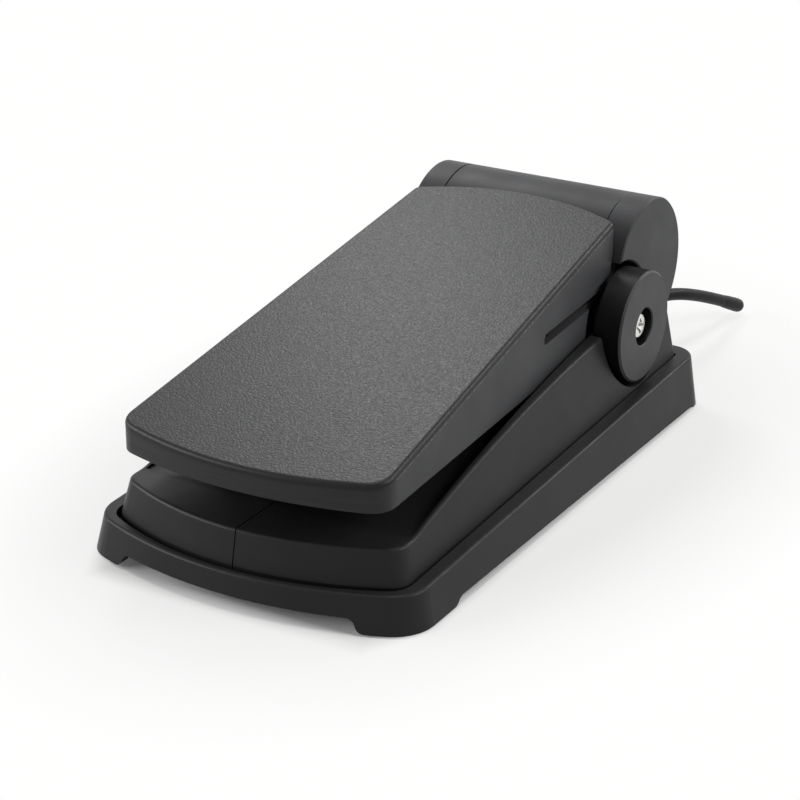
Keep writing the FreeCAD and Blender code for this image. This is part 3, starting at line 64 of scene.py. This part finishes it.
# Colours
PLASTIC = (0.017, 0.0172, 0.0176)
BOARD = (0.043, 0.0438, 0.046)
TREAD_DARK = (0.013, 0.0133, 0.0139)
TREAD_LIGHT = (0.054, 0.0553, 0.058)
RUBBER = (0.012, 0.012, 0.0125)
NICKEL = (0.78, 0.77, 0.74)
STEEL = (0.5, 0.5, 0.51)
ZINC = (0.42, 0.43, 0.44)
NATURAL_PLASTIC = (0.72, 0.7, 0.64)
CIRCUIT_GREEN = (0.02, 0.13, 0.05)
CORD_BLACK = (0.0035, 0.0035, 0.0036)
# Painted shade on the tread's rounded rim
RIM_PAINTED_SHADE = (0.002, 0.002, 0.0021)
# Painted shade on the discs' drum sides and recess walls
DRUM_PAINTED_SHADE = (0.006, 0.006, 0.0063)
# Painted highlight along the board's top edge under the tread's rim
EDGE_PAINTED_HIGHLIGHT = (0.16, 0.16, 0.165)
FLOOR_WHITE = (0.86, 0.858, 0.85)
BACKGROUND_WHITE = (1.0, 1.0, 0.996, 1.0)

# Gloss of the plastics: roughness and specular level
CASE_GLOSS = (0.36, 0.14)
BARREL_GLOSS = (0.45, 0.12)
BOARD_GLOSS = (0.45, 0.14)
DISC_GLOSS = (0.42, 0.14)
TREAD_GLOSS = (0.42, 0.24)
NATURAL_GLOSS = (0.42, 0.5)
CIRCUIT_GLOSS = (0.35, 0.5)
CORD_GLOSS = (0.36, 0.1)
FLOOR_GLOSS = (0.9, 0.1)
RUBBER_GLOSS = (0.7, 0.35)

# Metals: roughness, and the specular level that they share
NICKEL_ROUGHNESS = 0.2
STEEL_ROUGHNESS = 0.3
ZINC_ROUGHNESS = 0.42
METAL_SPECULAR = 0.5
STEEL_STRETCH = (8.0, 1.0, 1.0)

# Middle part of a noise's range, over which its tones and its roughness are spread
NOISE_LOW = 0.3
NOISE_HIGH = 0.7

# Below, each noise is given as its size and its detail.

# Mould texture: clouds in the colour, patches in the gloss, spark grain and slow waves
MOULD_CLOUDS = (0.035, 3.0)
MOULD_TONES = (0.9, 1.1)
MOULD_PATCHES = (0.012, 4.0)
MOULD_PATCH_CHANGE = 0.05
MOULD_SPARKS = (0.0005, 2.0)
MOULD_SPARK_DEPTH = 0.00001
MOULD_WAVES = (0.02, 2.0)
MOULD_WAVE_DEPTH = 0.00006

# Top plane of the board at rest: its normal, and how far along it the plane lies
BOARD_UP = (0.0, -0.16832, 0.98573)
BOARD_TOP = 0.0622

# Tread: pebbled grain, how squarely a face has to lie along the top for the grain to begin and to
# be full, the depths below the top between which the painted shade on the rounded rim ends, and
# the front's lines
PEBBLE_SIZE = 0.00078
PEBBLE_SMOOTHNESS = 0.2
PEBBLE_WEIGHT = -0.8
WOBBLE = (0.0007, 2.0)
GRAIN_TONES = (0.05, 0.55)
GRAIN_PATCHES = (0.0009, 2.0)
GRAIN_ROUGHNESS = (0.36, 0.5)
GRAIN_DEPTH = 0.00009
GRAIN_FACING = (0.94, 0.985)
RIM_DEPTHS = (0.0026, 0.0016)
FRONT_LINES = (0.0006, 2.0)
FRONT_LINE_STRETCH = (0.05, 0.05, 1.0)
FRONT_TONES = (0.7, 1.1)

# Painted highlight along the board's edge under the tread's rim: its depths, and its specks
HIGHLIGHT_DEPTHS = (0.0027, 0.0022)
SPECKS = (0.0006, 1.0)
SPECK_TONES = (0.45, 0.6)

# Circuit board's laminate and the resist over it
WEAVE = (0.0007, 1.0)
WEAVE_STRETCH = (1.0, 0.4, 1.0)
WEAVE_DEPTH = 0.00001
RESIST_PATCHES = (0.002, 3.0)
RESIST_ROUGHNESS = (0.28, 0.42)

# How squarely a disc's face has to point sideways for the painted shade on the drum's side to
# fade and to be gone
DISC_FACING = (0.15, 0.75)

# Floor
FLOOR_REACH = 6.0
FLOOR_CLOUDS = (0.4, 2.0)
FLOOR_TONE = 0.995

# How the floor's shade gives way to the background's white: a first share of white comes in at
# the tray's outline, an octagon that is 1 at its edge, and the rest with the stretched distance
# from a point behind the middle
TRAY_HALF_WIDTH = 0.06
TRAY_HALF_LENGTH = 0.114
TRAY_CORNER_SUM = 1.8
SHADOW_BAND = (0.95, 1.04)
NEAR_WHITE = 0.55
FADE_STRETCH = (1.0, 0.6, 1.0)
FADE_SHIFT = (0.0, -0.018, 0.0)
FADE_BAND = (0.08, 0.135)
FAR_WHITE = 0.45

# Softboxes: direction, distance, width, height, and radiance with white as 1
SOFTBOXES = {
    "sheen_softbox": ((-0.228, 0.292, 0.405), 0.55, 0.13, 0.13, 12.0),
    "top_softbox": ((0.0, 0.02, 1.0), 1.4, 0.42, 0.42, 9.5),
    "left_softbox": ((-0.82, -0.52, 0.34), 1.1, 1.0, 0.4, 7.0),
    "right_softbox": ((0.8, 0.22, 0.5), 1.4, 0.9, 0.6, 6.2),
    "edge_softbox": ((0.40, 0.79, 0.46), 1.2, 0.5, 0.3, 7.0),
}
ROOM_LIGHT = 0.005


def add_camera():
    data = bpy.data.cameras.new("camera")
    data.lens = CAMERA_LENS_MM
    data.sensor_width = CAMERA_SENSOR_MM
    data.clip_start = CAMERA_NEAR
    data.clip_end = CAMERA_FAR
    camera = bpy.data.objects.new("camera", data)
    bpy.context.scene.collection.objects.link(camera)
    turn = Matrix.Rotation(math.radians(CAMERA_TURN_DEG), 4, "Z")
    tilt = Matrix.Rotation(math.radians(90 - CAMERA_DOWN_DEG), 4, "X")
    camera.matrix_world = Matrix.Translation(CAMERA_PLACE) @ turn @ tilt
    bpy.context.scene.camera = camera


def add_tip():
    # A sleeve that swells smoothly from the cord's jacket to a rounded nose
    start = Vector(CORD_ROUTE[-1])
    axis = (start - Vector(CORD_ROUTE[-2])).normalized()
    side = axis.cross(Vector((0, 0, 1))).normalized()
    other = axis.cross(side)
    vertices = []
    faces = []
    for distance, radius in TIP_PROFILE:
        middle = start + axis * distance
        for k in range(TIP_SIDES):
            angle = 2 * math.pi * k / TIP_SIDES
            spoke = side * math.cos(angle) + other * math.sin(angle)
            vertices.append(middle + spoke * radius)
    for ring in range(len(TIP_PROFILE) - 1):
        for k in range(TIP_SIDES):
            a = ring * TIP_SIDES + k
            b = ring * TIP_SIDES + (k + 1) % TIP_SIDES
            faces.append((a, b, b + TIP_SIDES, a + TIP_SIDES))
    smooth = [True] * len(faces) + [False, False]
    last = (len(TIP_PROFILE) - 1) * TIP_SIDES
    faces.append(tuple(reversed(range(TIP_SIDES))))
    faces.append(tuple(range(last, last + TIP_SIDES)))
    mesh = bpy.data.meshes.new("cord_tip")
    mesh.from_pydata(vertices, [], faces)
    mesh.polygons.foreach_set("use_smooth", smooth)
    mesh.update()
    tip = bpy.data.objects.new("cord_tip", mesh)
    bpy.context.scene.collection.objects.link(tip)
    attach(tip, "base")
    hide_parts("cord_plug")
    return tip


def add_cord():
    # The points' own radius gives the thickness, which keeps the curve's bounding box true
    curve = bpy.data.curves.new("cord_line", "CURVE")
    curve.dimensions = "3D"
    curve.bevel_depth = 1.0
    curve.bevel_resolution = CORD_ROUND_STEPS
    curve.resolution_u = CORD_SPAN_STEPS
    curve.use_fill_caps = True
    spline = curve.splines.new("NURBS")
    spline.points.add(len(CORD_ROUTE) - 1)
    for point, place in zip(spline.points, CORD_ROUTE):
        point.co = (*place, 1.0)
        point.radius = CORD_DIAMETER / 2
    spline.order_u = CORD_ORDER
    spline.use_endpoint_u = True
    cord = bpy.data.objects.new("cord_tube", curve)
    bpy.context.scene.collection.objects.link(cord)
    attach(cord, "base")
    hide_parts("cord")
    return cord


class Finish:
    """A material under construction: the shader with a few helpers to wire nodes to it."""

    def __init__(self, name, roughness, specular, metallic=0.0):
        self.material = bpy.data.materials.new(name)
        self.material.use_nodes = True
        self.nodes = self.material.node_tree.nodes
        self.links = self.material.node_tree.links
        self.shader = self.nodes["Principled BSDF"]
        self.shader.inputs["Roughness"].default_value = roughness
        self.shader.inputs["Specular IOR Level"].default_value = specular
        self.shader.inputs["Metallic"].default_value = metallic
        self.coordinates = self.nodes.new("ShaderNodeTexCoord")
        self.place = self.coordinates.outputs["Object"]

    def stretched(self, scale, shift=(0.0, 0.0, 0.0)):
        mapping = self.nodes.new("ShaderNodeMapping")
        mapping.inputs["Scale"].default_value = scale
        mapping.inputs["Location"].default_value = shift
        self.links.new(self.place, mapping.inputs["Vector"])
        return mapping.outputs["Vector"]

    def along(self, coordinate, direction):
        # How far the place or the normal, in the object's own space, lies along a direction
        node = self.nodes.new("ShaderNodeVectorMath")
        node.operation = "DOT_PRODUCT"
        node.inputs[1].default_value = direction
        self.links.new(self.coordinates.outputs[coordinate], node.inputs[0])
        return node.outputs["Value"]

    def noise(self, size, detail, place=None):
        node = self.nodes.new("ShaderNodeTexNoise")
        node.inputs["Scale"].default_value = 1.0 / size
        node.inputs["Detail"].default_value = detail
        self.links.new(place or self.place, node.inputs["Vector"])
        return node.outputs["Fac"]

    def cells(self, size, smoothness):
        node = self.nodes.new("ShaderNodeTexVoronoi")
        node.feature = "SMOOTH_F1"
        node.inputs["Scale"].default_value = 1.0 / size
        node.inputs["Smoothness"].default_value = smoothness
        self.links.new(self.place, node.inputs["Vector"])
        return node.outputs["Distance"]

    def spread(self, value, low, high, from_low=NOISE_LOW, from_high=NOISE_HIGH):
        node = self.nodes.new("ShaderNodeMapRange")
        node.inputs["From Min"].default_value = from_low
        node.inputs["From Max"].default_value = from_high
        node.inputs["To Min"].default_value = low
        node.inputs["To Max"].default_value = high
        self.links.new(value, node.inputs["Value"])
        return node.outputs["Result"]

    def combine(self, operation, *values):
        node = self.nodes.new("ShaderNodeMath")
        node.operation = operation
        for socket, value in zip(node.inputs, values):
            if isinstance(value, float):
                socket.default_value = value
            else:
                self.links.new(value, socket)
        return node.outputs["Value"]

    def ramp(self, value, first, second, low=NOISE_LOW, high=NOISE_HIGH):
        node = self.nodes.new("ShaderNodeValToRGB")
        node.color_ramp.elements[0].position = low
        node.color_ramp.elements[0].color = (*first, 1.0)
        node.color_ramp.elements[1].position = high
        node.color_ramp.elements[1].color = (*second, 1.0)
        self.links.new(value, node.inputs["Fac"])
        return node.outputs["Color"]

    def blend(self, share, first, second):
        node = self.nodes.new("ShaderNodeMixRGB")
        self.links.new(share, node.inputs["Fac"])
        for socket, colour in ((node.inputs["Color1"], first), (node.inputs["Color2"], second)):
            if isinstance(colour, tuple):
                socket.default_value = (*colour, 1.0)
            else:
                self.links.new(colour, socket)
        return node.outputs["Color"]

    def paint(self, colour):
        self.links.new(colour, self.shader.inputs["Base Color"])

    def painted(self):
        return self.shader.inputs["Base Color"].links[0].from_socket

    def roughness(self, value, low, high):
        self.links.new(self.spread(value, low, high), self.shader.inputs["Roughness"])

    def bump(self, height, depth):
        # Laid over the bumps that are already there
        node = self.nodes.new("ShaderNodeBump")
        node.inputs["Distance"].default_value = depth
        node.inputs["Strength"].default_value = 1.0
        self.links.new(height, node.inputs["Height"])
        before = self.shader.inputs["Normal"].links
        if before:
            self.links.new(before[0].from_socket, node.inputs["Normal"])
        self.links.new(node.outputs["Normal"], self.shader.inputs["Normal"])


def tones(colour, darker, lighter):
    return [tuple(channel * factor for channel in colour) for factor in (darker, lighter)]


def moulded_finish(name, colour, roughness, specular):
    # Fine spark-eroded mould texture, with slight cloudiness in colour and gloss
    finish = Finish(name, roughness, specular)
    finish.paint(finish.ramp(finish.noise(*MOULD_CLOUDS), *tones(colour, *MOULD_TONES)))
    finish.roughness(finish.noise(*MOULD_PATCHES),
                     roughness - MOULD_PATCH_CHANGE, roughness + MOULD_PATCH_CHANGE)
    finish.bump(finish.noise(*MOULD_SPARKS), MOULD_SPARK_DEPTH)
    finish.bump(finish.noise(*MOULD_WAVES), MOULD_WAVE_DEPTH)
    return finish


def moulded_plastic(name, colour, roughness, specular):
    return moulded_finish(name, colour, roughness, specular).material


def grained_tread():
    # Leather-like grain on the top face alone; its rounded rim is smooth and painted black as
    # shade, and the front face below the rim is smooth and fine-lined
    finish = Finish("tread", *TREAD_GLOSS)
    wobble = finish.noise(*WOBBLE)
    pebbles = finish.cells(PEBBLE_SIZE, PEBBLE_SMOOTHNESS)
    height = finish.combine("MULTIPLY_ADD", pebbles, PEBBLE_WEIGHT, wobble)
    grain = finish.ramp(height, TREAD_DARK, TREAD_LIGHT, *GRAIN_TONES)
    lines = finish.noise(*FRONT_LINES, finish.stretched(FRONT_LINE_STRETCH))
    lined = finish.ramp(lines, *tones(PLASTIC, *FRONT_TONES))
    rim_low, rim_high = (BOARD_TOP - depth for depth in RIM_DEPTHS)
    front = finish.spread(finish.along("Object", BOARD_UP), 1.0, 0.0, rim_low, rim_high)
    below = finish.blend(front, RIM_PAINTED_SHADE, lined)
    top = finish.spread(finish.along("Normal", BOARD_UP), 0.0, 1.0, *GRAIN_FACING)
    finish.paint(finish.blend(top, below, grain))
    finish.roughness(finish.noise(*GRAIN_PATCHES), *GRAIN_ROUGHNESS)
    finish.bump(finish.combine("MULTIPLY", height, top), GRAIN_DEPTH)
    return finish.material


def pivot_disc():
    # The flat faces as the board; painted shade makes the drum's side and the walls of the
    # recess much darker
    finish = moulded_finish("pivot_disc", BOARD, *DISC_GLOSS)
    sideways = finish.combine("ABSOLUTE", finish.along("Normal", (1.0, 0.0, 0.0)))
    flat = finish.spread(sideways, 0.0, 1.0, *DISC_FACING)
    finish.paint(finish.blend(flat, DRUM_PAINTED_SHADE, finish.painted()))
    return finish.material


def board_moulding():
    # As the other moulded pieces, with a fine painted highlight, broken into specks, along the
    # edge where the tread's rim meets it
    finish = moulded_finish("board_moulding", BOARD, *BOARD_GLOSS)
    highlight_low, highlight_high = (BOARD_TOP - depth for depth in HIGHLIGHT_DEPTHS)
    line = finish.spread(finish.along("Object", BOARD_UP), 0.0, 1.0, highlight_low, highlight_high)
    specks = finish.spread(finish.noise(*SPECKS), 0.0, 1.0, *SPECK_TONES)
    painted_highlight = finish.combine("MULTIPLY", line, specks)
    finish.paint(finish.blend(painted_highlight, finish.painted(), EDGE_PAINTED_HIGHLIGHT))
    return finish.material


def textured(name, gloss, colours, clouds, patches, roughness, grain, depth, metallic=0.0,
             stretch=(1.0, 1.0, 1.0)):
    # Clouds in the colour, patches in the gloss and a fine grain. A stretch above 1 packs them
    # closer along its axis, as tool marks on a turned piece.
    finish = Finish(name, *gloss, metallic)
    place = finish.stretched(stretch)
    finish.paint(finish.ramp(finish.noise(*clouds, place), *colours))
    finish.roughness(finish.noise(*patches, place), *roughness)
    finish.bump(finish.noise(*grain, place), depth)
    return finish.material


def turned_metal(name, colour, roughness, stretch=(1.0, 1.0, 1.0)):
    return textured(name, (roughness, METAL_SPECULAR), tones(colour, 0.85, 1.0),
                    clouds=(0.003, 4.0), patches=(0.0008, 3.0),
                    roughness=(roughness - 0.05, roughness + 0.08),
                    grain=(0.0006, 3.0), depth=0.000006, metallic=1.0, stretch=stretch)


def soft_rubber():
    return textured("foot_rubber", RUBBER_GLOSS, tones(RUBBER, 0.8, 1.3),
                    clouds=(0.004, 4.0), patches=(0.002, 3.0), roughness=(0.64, 0.76),
                    grain=(0.0004, 2.0), depth=0.00002)


def natural_plastic():
    return textured("natural_plastic", NATURAL_GLOSS, tones(NATURAL_PLASTIC, 0.93, 1.0),
                    clouds=(0.006, 3.0), patches=(0.003, 3.0), roughness=(0.36, 0.48),
                    grain=(0.0006, 2.0), depth=0.000012)


def cord_jacket():
    return textured("cord_jacket", CORD_GLOSS, tones(CORD_BLACK, 0.8, 1.3),
                    clouds=(0.01, 3.0), patches=(0.003, 3.0), roughness=(0.34, 0.46),
                    grain=(0.0012, 3.0), depth=0.00002)


def solder_resist():
    # Woven glass laminate under green resist
    finish = Finish("circuit_laminate", *CIRCUIT_GLOSS)
    weave = finish.noise(*WEAVE, finish.stretched(WEAVE_STRETCH))
    finish.paint(finish.ramp(weave, *tones(CIRCUIT_GREEN, 0.8, 1.2)))
    finish.roughness(finish.noise(*RESIST_PATCHES), *RESIST_ROUGHNESS)
    finish.bump(weave, WEAVE_DEPTH)
    return finish.material


def dress(cord, tip):
    # Give every piece its material
    finishes = {
        moulded_plastic("case_plastic", PLASTIC, *CASE_GLOSS): [
            "base_tray", "housing_left", "housing_right"],
        moulded_plastic("board_plastic", BOARD, *BARREL_GLOSS): [
            "barrel_tube", "end_lug_left", "end_lug_right"],
        board_moulding(): ["pedal_plate"],
        pivot_disc(): ["hinge_disc_left", "hinge_disc_right"],
        grained_tread(): ["tread_pad"],
        soft_rubber(): ["rubber_feet", "stop_bumpers", "cord_gland"],
        turned_metal("nickel", NICKEL, NICKEL_ROUGHNESS): [
            "hinge_screws", "base_screws", "post_screws", "sector_screws", "bracket_screws"],
        turned_metal("turned_steel", STEEL, STEEL_ROUGHNESS, STEEL_STRETCH): [
            "stub_axle_left", "stub_axle_right", "tie_rod", "tie_nuts", "pot_shaft", "pot_nut"],
        turned_metal("zinc_plate", ZINC, ZINC_ROUGHNESS): [
            "ballast_plate", "pot_bracket", "pot_body"],
        natural_plastic(): [
            "bush_left", "bush_right", "friction_washers", "gear_sector", "pinion"],
        solder_resist(): ["circuit_board"],
    }
    for material, names in finishes.items():
        for name in names:
            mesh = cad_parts[name].data
            mesh.materials.clear()
            mesh.materials.append(material)
    jacket = cord_jacket()
    cord.data.materials.append(jacket)
    tip.data.materials.append(jacket)


def background_rays(nodes, links):
    # 1 for the rays that show the background itself: straight, mirrored or through glass
    path = nodes.new("ShaderNodeLightPath")
    shown = path.outputs["Is Camera Ray"]
    for kind in ("Is Transmission Ray", "Is Glossy Ray"):
        larger = nodes.new("ShaderNodeMath")
        larger.operation = "MAXIMUM"
        links.new(shown, larger.inputs[0])
        links.new(path.outputs[kind], larger.inputs[1])
        shown = larger.outputs["Value"]
    return shown


def floor_finish():
    # Under the tray the floor keeps the whole contact shadow, close round the tray a part of
    # its shade, and far from the tray it runs into the white of the background
    finish = Finish("floor", *FLOOR_GLOSS)
    finish.paint(finish.ramp(finish.noise(*FLOOR_CLOUDS), *tones(FLOOR_WHITE, FLOOR_TONE, 1.0)))
    across = finish.combine("ABSOLUTE", finish.along("Object", (1.0 / TRAY_HALF_WIDTH, 0.0, 0.0)))
    lengthways = finish.combine("ABSOLUTE",
                                finish.along("Object", (0.0, 1.0 / TRAY_HALF_LENGTH, 0.0)))
    corner = finish.combine("DIVIDE", finish.combine("ADD", across, lengthways), TRAY_CORNER_SUM)
    edge = finish.combine("MAXIMUM", finish.combine("MAXIMUM", across, lengthways), corner)
    near = finish.spread(edge, 0.0, NEAR_WHITE, *SHADOW_BAND)
    away = finish.nodes.new("ShaderNodeVectorMath")
    away.operation = "LENGTH"
    finish.links.new(finish.stretched(FADE_STRETCH, FADE_SHIFT), away.inputs[0])
    far = finish.spread(away.outputs["Value"], 0.0, FAR_WHITE, *FADE_BAND)
    shown = background_rays(finish.nodes, finish.links)
    share = finish.combine("MULTIPLY", shown, finish.combine("ADD", near, far))
    glow = finish.nodes.new("ShaderNodeEmission")
    glow.inputs["Color"].default_value = BACKGROUND_WHITE
    glow.inputs["Strength"].default_value = 1.0
    mix = finish.nodes.new("ShaderNodeMixShader")
    finish.links.new(share, mix.inputs["Fac"])
    finish.links.new(finish.shader.outputs["BSDF"], mix.inputs[1])
    finish.links.new(glow.outputs["Emission"], mix.inputs[2])
    output = finish.nodes["Material Output"]
    finish.links.new(mix.outputs["Shader"], output.inputs["Surface"])
    return finish.material


def add_floor():
    corners = [(-FLOOR_REACH, -FLOOR_REACH, 0), (FLOOR_REACH, -FLOOR_REACH, 0),
               (FLOOR_REACH, FLOOR_REACH, 0), (-FLOOR_REACH, FLOOR_REACH, 0)]
    mesh = bpy.data.meshes.new("floor")
    mesh.from_pydata(corners, [], [(0, 1, 2, 3)])
    mesh.materials.append(floor_finish())
    floor = bpy.data.objects.new("floor", mesh)
    bpy.context.scene.collection.objects.link(floor)


def add_world():
    # A dark room that lights the object hardly at all, behind a white background
    world = bpy.data.worlds.new("studio")
    bpy.context.scene.world = world
    world.use_nodes = True
    nodes = world.node_tree.nodes
    links = world.node_tree.links
    room = nodes["Background"]
    room.inputs["Color"].default_value = (1.0, 1.0, 1.0, 1.0)
    room.inputs["Strength"].default_value = ROOM_LIGHT
    white = nodes.new("ShaderNodeBackground")
    white.inputs["Color"].default_value = BACKGROUND_WHITE
    white.inputs["Strength"].default_value = 1.0
    mix = nodes.new("ShaderNodeMixShader")
    links.new(background_rays(nodes, links), mix.inputs["Fac"])
    links.new(room.outputs["Background"], mix.inputs[1])
    links.new(white.outputs["Background"], mix.inputs[2])
    links.new(mix.outputs["Shader"], nodes["World Output"].inputs["Surface"])


def add_softbox(name, direction, distance, width, height, radiance):
    # A rectangle lamp aimed at the object
    data = bpy.data.lights.new(name, "AREA")
    data.shape = "RECTANGLE"
    data.size = width
    data.size_y = height
    data.energy = radiance * math.pi * width * height
    lamp = bpy.data.objects.new(name, data)
    bpy.context.scene.collection.objects.link(lamp)
    towards = Vector(direction).normalized()
    lamp.location = towards * distance
    lamp.rotation_mode = "QUATERNION"
    lamp.rotation_quaternion = towards.to_track_quat("Z", "Y")
    lamp.visible_camera = False


add_camera()
tip_piece = add_tip()
cord_piece = add_cord()
dress(cord_piece, tip_piece)
add_floor()
add_world()
for softbox, values in SOFTBOXES.items():
    add_softbox(softbox, *values)
bpy.context.scene.view_settings.view_transform = "Standard"
